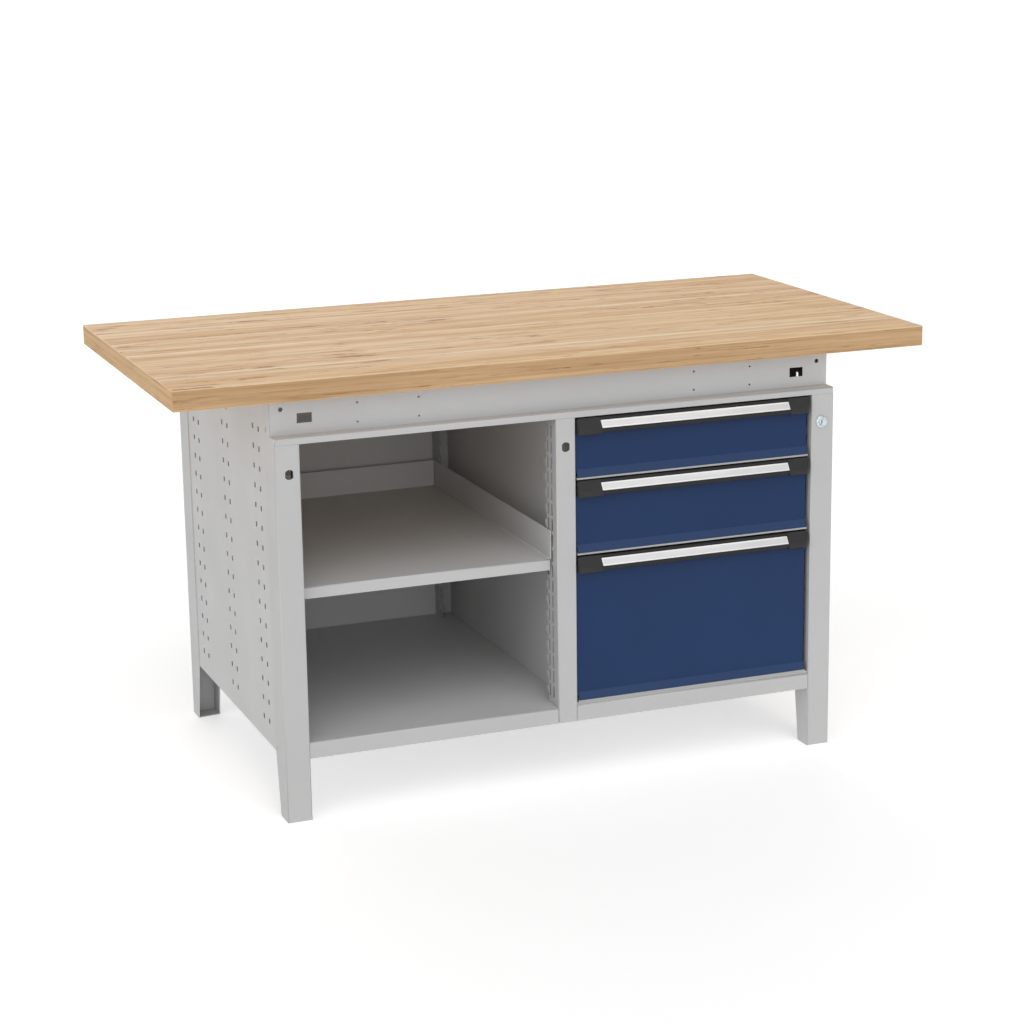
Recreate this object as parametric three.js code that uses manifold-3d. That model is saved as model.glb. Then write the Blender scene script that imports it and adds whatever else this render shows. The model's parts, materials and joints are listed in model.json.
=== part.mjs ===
// Steel workbench with a timber top, an open bay with a hung shelf on the left and a bank of three drawers on the right.
// Millimetres, +Z up. The origin is on the floor under the middle of the worktop; the front faces -Y.
import * as THREE from "three";
import { mergeVertices } from "three/addons/utils/BufferGeometryUtils.js";
import Module from "manifold-3d";

const wasm = await Module();
wasm.setup();

// ---------------------------------------------------------------- driving dimensions
const TOP_L = 1520; // worktop length
const TOP_D = 750; // worktop depth
const TOP_T = 40; // worktop thickness
const HEIGHT = 850; // floor to working surface
const UNDER = HEIGHT - TOP_T; // underside of the worktop

const FX = 572; // half the width over the legs
const FY = 358; // half the depth over the legs
const S = 1.5; // sheet thickness
const G = 0.3; // gap between touching pieces

const LEG_W = 48; // leg face width
const LEG_OUT = 66; // outer flange depth
const LEG_IN = 57; // inner flange depth
const FOOT_OUT = 46; // outer flange depth at the floor
const FOOT_IN = 40; // inner flange depth at the floor
const INNER = FX - LEG_W; // inner edge of the legs

const BASE_Z = 122; // lower edge of the cabinet
const FLOOR_Z = 153.3; // upper surface of the floor pans
const LIP_Z = 727.4; // lower edge of the top rail's lip
const LEDGE_Z = 739.4; // upper surface of the top rail's ledge
const LEDGE_D = 30; // depth of the ledge
const RAIL_X = FX - S - G; // half the top rail's length, between the legs' outer flanges
const POST = 20; // half the centre post's width
const POST_D = 59; // centre post flange depth

const PITCH = 38; // tool-hook perforation pitch
const HOLE = 10; // square perforation
const ROWS = 16;
const ROW_Z = 168; // lowest row
const COLS = [-247, -209, -19, 19, 209, 247];

const SLOT_PITCH = 30.5; // slotted uprights
const SLOT_N = 18;
const SLOT_Z = 180;
const SLOT_W = 7;
const SLOT_H = 23;
const ROW_A = 334.5; // the two rows of slots, distance from the middle
const ROW_B = 316;
const TOOTH = 9; // depth of the teeth along the free edge

const LOCK_X = 545;
const LOCK_Z = 672;

// drawers: top of the pull and lower edge of the front
const DRAWERS = [
  { top: 724.5, low: 609 },
  { top: 602.3, low: 460 },
  { top: 452.5, low: 163 },
];
const FRONT_Y = 350; // outer face of the drawer fronts
const BAY = (POST + INNER) / 2; // middle of the drawer bay
const FRONT_L = 22.5; // left and right edges of the drawer fronts
const FRONT_R = 517.5;
const KICK = 15; // height of the lower edge that leans out
const SILL_Y = 353; // upstand on the floor below the lowest drawer
const SILL_Z = 158.3;
const PULL_W = 493;
const CAP_W = 46;
const BOX_W = 472;
const BOX_BACK = 290;
const RUN_FRONT = 335; // front end of the fixed rails
const RUN_BACK = 300;

const SHELF_Z = 448; // shelf floor, upper surface
const SHELF_WALL = 56;
const SHELF_LIP = 22;
const SHELF_GAP = 1.5; // each side, to the uprights
const SHELF_FRONT = 331.5;
const SHELF_BACK = 335.5;

// ---------------------------------------------------------------- helpers
const group = new THREE.Group();
const paint = (color, roughness, metalness) =>
  new THREE.MeshStandardMaterial({ color, roughness, metalness, flatShading: true });
const GREY = paint(0xbebebd, 0.55, 0.1);
const GREY_IN = paint(0xb4b4b2, 0.6, 0.1);
const BLUE = paint(0x2b3c60, 0.45, 0.1);
const BLACK = paint(0x36373a, 0.5, 0.0);
const DARK = paint(0x2a2a2b, 0.45, 0.3);
const LABEL = paint(0xdededd, 0.35, 0.2);
const WOOD = paint(0xd2b088, 0.5, 0.0);
const ZINC = paint(0xcfd8dc, 0.3, 0.9);

// A three.js geometry as a closed solid facing outwards.
function solid(geometry) {
  const g = geometry.clone();
  g.deleteAttribute("normal");
  g.deleteAttribute("uv");
  const m = mergeVertices(g, 1e-4);
  const triVerts = new Uint32Array(m.index.array);
  const make = () =>
    new wasm.Manifold(
      new wasm.Mesh({
        numProp: 3,
        vertProperties: new Float32Array(m.attributes.position.array),
        triVerts,
      }),
    );
  let s = make();
  if (s.volume() < 0) {
    for (let i = 0; i < triVerts.length; i += 3)
      [triVerts[i + 1], triVerts[i + 2]] = [triVerts[i + 2], triVerts[i + 1]];
    s = make();
  }
  return s;
}
const join = (list) => list.reduce((a, b) => a.add(b));
const cut = (a, list) => list.reduce((p, q) => p.subtract(q), a);

// A polygon in one of the three main planes, drawn out from a to b along the third axis.
function prism(plane, pts, a, b, holes = []) {
  if (a > b) [a, b] = [b, a];
  const shape = new THREE.Shape(pts.map(([u, v]) => new THREE.Vector2(u, v)));
  const g = new THREE.ExtrudeGeometry(shape, { depth: b - a, bevelEnabled: false, steps: 1 });
  const m = new THREE.Matrix4();
  if (plane === "xy") m.set(1, 0, 0, 0, 0, 1, 0, 0, 0, 0, 1, a, 0, 0, 0, 1);
  if (plane === "yz") m.set(0, 0, 1, a, 1, 0, 0, 0, 0, 1, 0, 0, 0, 0, 0, 1);
  if (plane === "xz") m.set(1, 0, 0, 0, 0, 0, -1, b, 0, 1, 0, 0, 0, 0, 0, 1);
  g.applyMatrix4(m);
  return cut(
    solid(g),
    holes.map((h) => prism(plane, h, a - 1, b + 1)),
  );
}
const rect = (u0, v0, u1, v1) => [
  [u0, v0],
  [u1, v0],
  [u1, v1],
  [u0, v1],
];
const box = (x0, y0, z0, x1, y1, z1) =>
  prism("xy", rect(Math.min(x0, x1), Math.min(y0, y1), Math.max(x0, x1), Math.max(y0, y1)), Math.min(z0, z1), Math.max(z0, z1));
const ngon = (u, v, r, n, turn = 0) =>
  Array.from({ length: n }, (_, i) => {
    const t = ((i + turn) / n) * 2 * Math.PI;
    return [u + r * Math.cos(t), v + r * Math.sin(t)];
  });
// A round hole with two flat sides, as lock cut-outs have.
const flatted = (u, v, r, half) =>
  ngon(u, v, r, 20, 0.5).map(([a, b]) => [Math.max(u - half, Math.min(u + half, a)), b]);
const flip = (pts, su, sv) => pts.map(([u, v]) => [su * u, sv * v]);

function piece(name, s, material) {
  const m = s.getMesh();
  const n = m.numProp;
  const pos = new Float32Array(m.numVert * 3);
  for (let i = 0; i < m.numVert; i++)
    for (let k = 0; k < 3; k++) pos[3 * i + k] = m.vertProperties[n * i + k];
  const g = new THREE.BufferGeometry();
  g.setAttribute("position", new THREE.BufferAttribute(pos, 3));
  g.setIndex(new THREE.BufferAttribute(new Uint32Array(m.triVerts), 1));
  g.computeVertexNormals();
  const mesh = new THREE.Mesh(g, material.clone());
  mesh.name = name;
  group.add(mesh);
}

// Slots of a slotted upright, as holes in a flange drawn in the YZ plane.
function slots(y, sy, skip = () => false) {
  const out = [];
  for (let i = 0; i < SLOT_N; i++) {
    const z = SLOT_Z + i * SLOT_PITCH;
    if (skip(z)) continue;
    out.push(rect(sy * y - SLOT_W / 2, z - SLOT_H / 2, sy * y + SLOT_W / 2, z + SLOT_H / 2));
  }
  return out;
}

// ---------------------------------------------------------------- worktop
piece("worktop", box(-TOP_L / 2, -TOP_D / 2, UNDER, TOP_L / 2, TOP_D / 2, HEIGHT), WOOD);

// ---------------------------------------------------------------- legs: folded channels that taper towards the floor
const APRON_Y = FY - LEDGE_D; // outer face of the apron
const LEG_TOP = UNDER - 3.5;
const tabSlots = DRAWERS.map(({ low }) => rect(-328, low + 46, -316, low + 72));
function leg(name, sx, sy, lock) {
  const face = prism(
    "xz",
    flip(rect(INNER, 0, FX, LIP_Z - G), sx, 1),
    sy * FY,
    sy * (FY - S),
    sy > 0
      ? []
      : [lock ? ngon(sx * LOCK_X, LOCK_Z, 9.4, 16, 0.5) : flatted(sx * LOCK_X, LOCK_Z, 9.4, 7.8)],
  );
  const outer = prism(
    "yz",
    flip(
      [
        [FY - S / 2, 0],
        [FY - S / 2, LEDGE_Z],
        [APRON_Y - S - G, LEDGE_Z],
        [APRON_Y - S - G, LEG_TOP],
        [FY - LEG_OUT, LEG_TOP],
        [FY - LEG_OUT, BASE_Z],
        [FY - FOOT_OUT, 0],
      ],
      sy,
      1,
    ),
    sx * FX,
    sx * (FX - S),
    [rect(sy * 305.5 - 2, 743.5, sy * 305.5 + 2, 754), rect(sy * 305.5 - 2.5, 129, sy * 305.5 + 2.5, 138)],
  );
  const inner = prism(
    "yz",
    flip(
      [
        [FY - S / 2, 0],
        [FY - S / 2, LIP_Z - 2],
        [FY - LEG_IN, LIP_Z - 2],
        [FY - LEG_IN, BASE_Z],
        [FY - FOOT_IN, 0],
      ],
      sy,
      1,
    ),
    sx * INNER,
    sx * (INNER + S),
    [...slots(ROW_A, sy), ...(lock ? tabSlots : slots(ROW_B, sy))],
  );
  const sole = prism(
    "xy",
    flip(
      [
        [INNER + S / 2, FY - S / 2],
        [FX - S / 2, FY - S / 2],
        [FX - S / 2, FY - FOOT_OUT],
        [INNER + S / 2, FY - FOOT_IN],
      ],
      sx,
      sy,
    ),
    0,
    2,
  );
  piece(name, join([face, outer, inner, sole]), GREY);
}
leg("leg_front_left", -1, -1, false);
leg("leg_front_right", 1, -1, true);
leg("leg_rear_left", -1, 1, false);
leg("leg_rear_right", 1, 1, false);

// ---------------------------------------------------------------- perforated side panels, behind the leg flanges
function sidePanel(name, sx) {
  const holes = [];
  for (const y of COLS)
    for (let i = 0; i < ROWS; i++) {
      const z = ROW_Z + i * PITCH;
      holes.push(rect(y - HOLE / 2, z - HOLE / 2, y + HOLE / 2, z + HOLE / 2));
    }
  const x = FX - S - G;
  piece(
    name,
    prism("yz", rect(-(FY - LEG_OUT) - 7, BASE_Z, FY - LEG_OUT + 7, LEG_TOP), sx * x, sx * (x - S), holes),
    GREY,
  );
}
sidePanel("left_side_panel", -1);
sidePanel("right_side_panel", 1);

// ---------------------------------------------------------------- top rails: apron, ledge and lip folded from one sheet
function topRail(name, sy, holes) {
  let s = prism(
    "yz",
    flip(
      [
        [FY, LIP_Z],
        [FY, LEDGE_Z],
        [APRON_Y, LEDGE_Z],
        [APRON_Y, UNDER - G],
        [APRON_Y - 22, UNDER - G],
        [APRON_Y - 22, UNDER - G - S],
        [APRON_Y - S, UNDER - G - S],
        [APRON_Y - S, LEDGE_Z - S],
        [FY - S, LEDGE_Z - S],
        [FY - S, LIP_Z],
      ],
      sy,
      1,
    ),
    -RAIL_X,
    RAIL_X,
  );
  const far = (sx) =>
    box(sx * 553, sy * (APRON_Y - 30), UNDER - 12, sx * 600, sy * (APRON_Y - S), UNDER + 5);
  s = cut(s, [far(1), far(-1)]);
  const through = (pts) => prism("xz", pts, sy * (APRON_Y + 4), sy * (APRON_Y - 4));
  piece(name, cut(s, holes.map(through)), GREY);
}
const apronHoles = [];
for (const sx of [-1, 1]) {
  apronHoles.push(ngon(sx * 549, 788, 4.2, 12));
  apronHoles.push(flip(rect(489.6, 760, 518.6, 778.5), sx, 1));
  for (const x of [281.9, 402.3])
    for (const z of [752.8, 789]) apronHoles.push(ngon(sx * x, z, 2, 8));
}
topRail("front_top_rail", -1, apronHoles);
topRail("rear_top_rail", 1, []);

// worktop bearers: angles along the side frames whose flange stands out under the top
function bearer(name, sx) {
  const pts = [
    [556, 780],
    [557.5, 780],
    [557.5, UNDER - 3.2],
    [584, UNDER - 3.2],
    [584, UNDER - G],
    [556, UNDER - G],
  ];
  piece(name, prism("xz", flip(pts, sx, 1), -(APRON_Y - S - G), APRON_Y - S - G), GREY);
}
bearer("left_top_bearer", -1);
bearer("right_top_bearer", 1);

// ---------------------------------------------------------------- centre posts: channels with slotted flanges
function post(name, sy, front) {
  const z0 = BASE_Z + G;
  const z1 = LIP_Z - G;
  const web = prism(
    "xz",
    rect(-POST, z0, POST, z1),
    sy * FY,
    sy * (FY - S),
    front ? [flatted(0, LOCK_Z, 9.4, 7.8)] : [],
  );
  const edge = FY - POST_D;
  // the left flange stands on the floor pan, and its free edge has a tooth beside each slot
  const f0 = FLOOR_Z + G;
  const outline = [
    [FY, f0],
    [FY, z1],
    [edge + TOOTH, z1],
  ];
  for (let i = SLOT_N - 1; i >= 0; i--) {
    const z = SLOT_Z + i * SLOT_PITCH;
    outline.push([edge + TOOTH, z + 5.5], [edge, z + 5], [edge, z - 3.2], [edge + TOOTH, z - 12.5]);
  }
  outline.push([edge + TOOTH, f0]);
  const left = prism("yz", flip(outline, sy, 1), -POST, -POST + S, [...slots(ROW_A, sy), ...slots(ROW_B, sy)]);
  const right = prism("yz", flip(rect(edge, z0, FY, z1), sy, 1), POST - S, POST, slots(ROW_A, sy));
  piece(name, join([web, left, right]), GREY);
}
post("centre_post_front", -1, true);
post("centre_post_rear", 1, false);

// the partition lies against the posts' right flanges
const partY = FY - S - G;
const PART_X = POST - S - G; // its right face
piece("partition_panel", prism("yz", rect(-partY, BASE_Z + G, partY, LIP_Z - G), PART_X - S, PART_X), GREY_IN);

// ---------------------------------------------------------------- floor pans and back panels
const X0 = POST + G;
const X1 = INNER - G;
const BACK_Y = 354.5;
for (const [side, sx] of [
  ["left", -1],
  ["right", 1],
]) {
  const xs = FX - 2 * S - 2 * G; // up to the side panel
  const yn = FY - LEG_OUT - G; // between the legs
  const front = -(FY - 0.5);
  const rear = BACK_Y - 0.6;
  const xi = sx < 0 ? -(PART_X - S - G) : X0; // the left pan runs on under the posts, up to the partition
  const plan = [
    [X0, front],
    [X1, front],
    [X1, -yn],
    [xs, -yn],
    [xs, yn],
    [X1, yn],
    [X1, rear],
    [xi, rear],
    ...(sx < 0
      ? [
          [xi, -(FY - S - G)],
          [X0, -(FY - S - G)],
        ]
      : []),
  ];
  piece(
    "floor_pan_" + side,
    join([
      prism("xy", flip(plan, sx, 1), FLOOR_Z - S, FLOOR_Z),
      box(sx * X0, front, BASE_Z, sx * X1, front + S, FLOOR_Z),
      box(sx * xi, rear - S, BASE_Z, sx * X1, rear, FLOOR_Z),
      ...(sx > 0 ? [box(X0, -SILL_Y, FLOOR_Z - S, X1, -SILL_Y + S, SILL_Z)] : []),
    ]),
    GREY,
  );
  piece("back_panel_" + side, box(sx * X0, BACK_Y, BASE_Z + G, sx * X1, BACK_Y + S, LIP_Z - G), GREY_IN);
}

// ---------------------------------------------------------------- telescopic rails
// wall: X of the upright's face, dir: +1 when the sliding piece is on the +X side, room: space between them
function rails(fixedName, runnerName, wall, dir, room, zc) {
  const c = (u0, z0, u1, z1) => flip(rect(u0, z0, u1, z1), dir, 1).map(([u, z]) => [wall + u, zc + z]);
  const long = (pts, y0, y1) => prism("xz", pts, y0, y1);
  const deep = Math.min(6.5, room * 0.53);
  piece(
    fixedName,
    join([
      long(c(G, -18, G + S, 18), -RUN_FRONT, RUN_BACK),
      long(c(G, 18 - S, deep, 18), -RUN_FRONT, RUN_BACK),
      long(c(G, -18, deep, -18 + S), -RUN_FRONT, RUN_BACK),
    ]),
    ZINC,
  );
  const near = room - G;
  piece(
    runnerName,
    join([
      long(c(near - S, -14, near, 14), -RUN_FRONT + 1, BOX_BACK - 5),
      long(c(G + S + 1.2, 14 - S, near, 14), -RUN_FRONT + 1, BOX_BACK - 5),
      long(c(G + S + 1.2, -14, near, -14 + S), -RUN_FRONT + 1, BOX_BACK - 5),
    ]),
    ZINC,
  );
}

// ---------------------------------------------------------------- shelf, hung between the slotted uprights
const shelfL = -INNER + SHELF_GAP;
const shelfR = -POST - SHELF_GAP;
const shelfSide = (x) =>
  prism("yz", rect(-SHELF_FRONT, SHELF_Z - S, SHELF_BACK, SHELF_Z + SHELF_WALL), x, x + S, [
    ngon(-SHELF_FRONT + 5.5, SHELF_Z + 43, 2.5, 8),
  ]);
piece(
  "shelf",
  join([
    box(shelfL, -SHELF_FRONT, SHELF_Z - S, shelfR, SHELF_BACK, SHELF_Z),
    box(shelfL, -SHELF_FRONT, SHELF_Z - SHELF_LIP, shelfR, -SHELF_FRONT + S, SHELF_Z),
    box(shelfL, SHELF_BACK - S, SHELF_Z - S, shelfR, SHELF_BACK, SHELF_Z + SHELF_WALL),
    shelfSide(shelfL),
    shelfSide(shelfR - S),
  ]),
  GREY,
);

// clips that hook into the slots and carry the shelf
// wall: X of the upright's face, dir: +1 when the shelf is on the +X side, y: the row of slots
function clip(name, wall, dir, y) {
  const top = SHELF_Z - S - G;
  const z = SLOT_Z + 8 * SLOT_PITCH;
  const c = (pts, half) =>
    prism("xz", flip(pts, dir, 1).map(([u, v]) => [wall + u, v]), y - half, y + half);
  piece(
    name,
    join([
      c(rect(G, z - 10, G + S, top), 7),
      c(rect(G, top - S, 16, top), 7),
      c(
        [
          [G + 0.5, top - 20],
          [14, top - 0.5],
          [G + 0.5, top - 0.5],
        ],
        0.75,
      ),
      c(rect(-4, z - 7, G + 1, z + 8), 1.5),
      c(rect(-4, z - 18, -S - 0.6, z + 8), 1.5),
    ]),
    ZINC,
  );
}
for (const [end, sy] of [
  ["front", -1],
  ["rear", 1],
]) {
  clip("shelf_clip_" + end + "_left", -INNER, 1, sy * ROW_B);
  clip("shelf_clip_" + end + "_right", -POST, -1, sy * ROW_B);
}

// ---------------------------------------------------------------- drawers
// The pull's section: distance out from the drawer front, height below the drawer's top.
const pullSection = [
  [0.3, 0],
  [8.4, 0],
  [8.4, -5.6],
  [8.0, -6.3],
  [17.6, -20.2],
  [18.9, -20.4],
  [18.9, -26.5],
  [16.6, -29],
  [14.2, -29],
  [14.2, -27.2],
  [16.6, -25.6],
  [16.6, -22.3],
  [6.4, -7.6],
  [6.4, -2],
  [2.3, -2],
  [2.3, -31],
  [0.3, -31],
];
const capSection = [
  [0.3, 0.3],
  [9.2, 0.3],
  [9.4, -5.2],
  [19.4, -19.6],
  [19.7, -26.5],
  [18.6, -29.6],
  [16.2, -31.6],
  [0.3, -31.6],
];
const labelSection = [
  [8.5, -6.35],
  [9.1, -6.75],
  [18.25, -20.0],
  [17.65, -19.6],
];
DRAWERS.forEach(({ top, low }, i) => {
  const d = "drawer_" + (i + 1) + "_";
  const x0 = FRONT_L;
  const x1 = FRONT_R;
  // front: sheet with folded sides and a lower edge that kicks outwards
  const frontTop = top - 0.5;
  const skin = prism(
    "yz",
    [
      [-FRONT_Y, frontTop],
      [-FRONT_Y, low + KICK],
      [-FRONT_Y - 8, low],
      [-FRONT_Y - 6.3, low],
      [-FRONT_Y + S, low + KICK + 0.4],
      [-FRONT_Y + S, frontTop],
    ],
    x0,
    x1,
  );
  piece(
    d + "front",
    join([
      skin,
      box(x0, -FRONT_Y, low + KICK + 1, x0 + S, -FRONT_Y + 11, frontTop),
      box(x1 - S, -FRONT_Y, low + KICK + 1, x1, -FRONT_Y + 11, frontTop),
    ]),
    BLUE,
  );
  // box: open above, the fold along its floor shows as a pale line below the front
  const b0 = BAY - BOX_W / 2;
  const b1 = BAY + BOX_W / 2;
  const f0 = low - 1.9;
  const wall = top - 32;
  const by = -FRONT_Y + S + 1;
  piece(
    d + "box",
    join([
      box(b0, -FRONT_Y - 4, f0, b1, BOX_BACK, f0 + S),
      box(x0 + 0.5, -FRONT_Y - 7, f0, x1 - 0.5, -FRONT_Y + 10, f0 + S),
      box(x0 + 0.5, -FRONT_Y - 7, f0 - 2, x1 - 0.5, -FRONT_Y - 5.5, f0 + S),
      box(b0, by, f0, b0 + S, BOX_BACK, wall),
      box(b1 - S, by, f0, b1, BOX_BACK, wall),
      box(b0, BOX_BACK - S, f0, b1, BOX_BACK, wall),
      box(b0, by, f0, b1, by + S, wall),
    ]),
    GREY_IN,
  );
  // catch on the box's side for the locking bar
  piece(d + "catch", box(b1 + G, -314, low + 61, b1 + 9, -308, low + 73), ZINC);
  // pull, label strip and end caps
  const p0 = BAY - PULL_W / 2;
  const p1 = BAY + PULL_W / 2;
  const sec = (pts) => pts.map(([y, z]) => [-FRONT_Y - y, top + z]);
  piece(d + "pull", prism("yz", sec(pullSection), p0 + CAP_W + G, p1 - CAP_W - G), DARK);
  piece(d + "label_strip", prism("yz", sec(labelSection), p0 + CAP_W + 0.5, p1 - CAP_W - 0.5), LABEL);
  for (const [side, sx] of [
    ["left", -1],
    ["right", 1],
  ]) {
    const outer = sx < 0 ? FRONT_L : p1;
    const innerX = sx < 0 ? p0 + CAP_W : p1 - CAP_W;
    // outer end rounded from above, and its corners rounded from the front
    const round = [
      [innerX, -FRONT_Y],
      [innerX, -FRONT_Y - 19.7],
    ];
    const r = 12;
    for (let k = 0; k <= 8; k++) {
      const t = (k / 8) * (Math.PI / 2);
      round.push([outer - sx * r + sx * r * Math.sin(t), -FRONT_Y - 19.7 + r - r * Math.cos(t)]);
    }
    round.push([outer, -FRONT_Y]);
    const [z0, z1, r0, r1] = [top - 31.6, top + 0.3, 4, 5];
    const face = [
      [innerX - sx, z0],
      [innerX - sx, z1],
    ];
    for (let k = 0; k <= 5; k++) {
      const t = (k / 5) * (Math.PI / 2);
      face.push([outer - sx * r1 + sx * r1 * Math.sin(t), z1 - r1 + r1 * Math.cos(t)]);
    }
    for (let k = 0; k <= 4; k++) {
      const t = (k / 4) * (Math.PI / 2);
      face.push([outer - sx * r0 + sx * r0 * Math.cos(t), z0 + r0 - r0 * Math.sin(t)]);
    }
    const solidCap = prism("yz", sec(capSection), Math.min(innerX, outer), Math.max(innerX, outer));
    piece(
      d + "cap_" + side,
      solidCap.intersect(prism("xy", round, top - 40, top + 5)).intersect(prism("xz", face, -FRONT_Y - 30, -FRONT_Y + 5)),
      BLACK,
    );
  }
  const room = b0 - POST;
  rails(d + "rail_left", d + "runner_left", POST, 1, room, low + 26);
  rails(d + "rail_right", d + "runner_right", INNER, -1, room, low + 26);
});

// ---------------------------------------------------------------- lock and locking bar in the right front leg
function turned(profile, n) {
  // profile: [radius, y] closed on itself or on the axis, turned about an axis along Y
  const g = new THREE.LatheGeometry(
    profile.map(([r, y]) => new THREE.Vector2(r, y)),
    n,
  );
  g.translate(LOCK_X, 0, LOCK_Z);
  return solid(g);
}
piece(
  "lock_housing",
  turned(
    [
      [6.3, -361.4],
      [11, -361.4],
      [12, -360.4],
      [12, -FY - G],
      [8.7, -FY - G],
      [8.7, -331],
      [6.3, -331],
      [6.3, -361.4],
    ],
    24,
  ),
  ZINC,
);
piece(
  "lock_plug",
  cut(
    turned(
      [
        [0, -361.8],
        [6, -361.8],
        [6, -328],
        [0, -328],
      ],
      20,
    ),
    [box(LOCK_X - 1, -363, LOCK_Z - 4, LOCK_X + 1, -355, LOCK_Z + 4)],
  ),
  ZINC,
);
const camPts = [
  [LOCK_X - 6, LOCK_Z - 6],
  [LOCK_X + 11, LOCK_Z - 6],
  [LOCK_X + 15, LOCK_Z - 3],
  [LOCK_X + 15, LOCK_Z + 3],
  [LOCK_X + 11, LOCK_Z + 6],
  [LOCK_X - 6, LOCK_Z + 6],
];
piece("lock_cam", prism("xz", camPts, -327.7, -325.2), ZINC);
piece(
  "locking_bar",
  join([
    box(527, -330, 190, 530, -316, 694),
    box(527, -330, 689.8, 552, -322, 694),
    ...DRAWERS.map(({ low }) => box(515, -326, low + 48, 530, -318, low + 58)),
  ]),
  ZINC,
);

export default group;
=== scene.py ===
import json
import math

import bmesh
import bpy
from mathutils import Matrix, Vector
from mathutils.geometry import delaunay_2d_cdt


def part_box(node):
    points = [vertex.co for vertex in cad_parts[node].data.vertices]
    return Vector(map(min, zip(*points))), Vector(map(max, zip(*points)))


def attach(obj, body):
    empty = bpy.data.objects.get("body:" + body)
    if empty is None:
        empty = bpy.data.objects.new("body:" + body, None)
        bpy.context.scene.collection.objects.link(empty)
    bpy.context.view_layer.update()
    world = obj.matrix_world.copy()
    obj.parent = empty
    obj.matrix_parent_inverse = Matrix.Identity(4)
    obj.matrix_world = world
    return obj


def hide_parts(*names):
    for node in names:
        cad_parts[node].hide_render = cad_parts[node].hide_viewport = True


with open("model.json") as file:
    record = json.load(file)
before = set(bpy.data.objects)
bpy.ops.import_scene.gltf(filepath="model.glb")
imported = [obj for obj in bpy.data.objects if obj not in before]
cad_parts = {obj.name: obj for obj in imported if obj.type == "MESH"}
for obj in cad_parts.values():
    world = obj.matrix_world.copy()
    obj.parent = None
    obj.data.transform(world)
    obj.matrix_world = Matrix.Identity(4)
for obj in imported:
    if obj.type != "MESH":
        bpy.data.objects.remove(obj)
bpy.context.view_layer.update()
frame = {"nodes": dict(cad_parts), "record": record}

NODES = frame["nodes"]
SLOT = {s["node"]: s["material_slot"] for s in frame["record"]["subparts"]}
BODY = {n: b for b, ns in frame["record"]["behaviour"]["bodies"].items() for n in ns}
MM = 0.001


def lin(r, g, b):
    """An sRGB colour, 0 to 255, as linear numbers."""
    def one(c):
        c = c / 255
        return c / 12.92 if c <= 0.04045 else ((c + 0.055) / 1.055) ** 2.4
    return (one(r), one(g), one(b), 1.0)


# ------------------------------------------------------------------ camera
cam_data = bpy.data.cameras.new("camera")
cam_data.sensor_width = 36
cam_data.lens = 88.43
cam_data.clip_start = 0.05
cam_data.clip_end = 400
cam = bpy.data.objects.new("camera", cam_data)
bpy.context.scene.collection.objects.link(cam)
right = Vector((0.931503, -0.363446, -0.014468))
up = Vector((0.102064, 0.222996, 0.969461))
back = right.cross(up)
m = Matrix((right, up, back)).transposed().to_4x4()
m.translation = Vector((-1.7738, -4.6653, 1.7226))
cam.matrix_world = m
bpy.context.scene.camera = cam
bpy.context.scene.view_settings.view_transform = "Standard"
bpy.context.scene.view_settings.look = "None"


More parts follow.
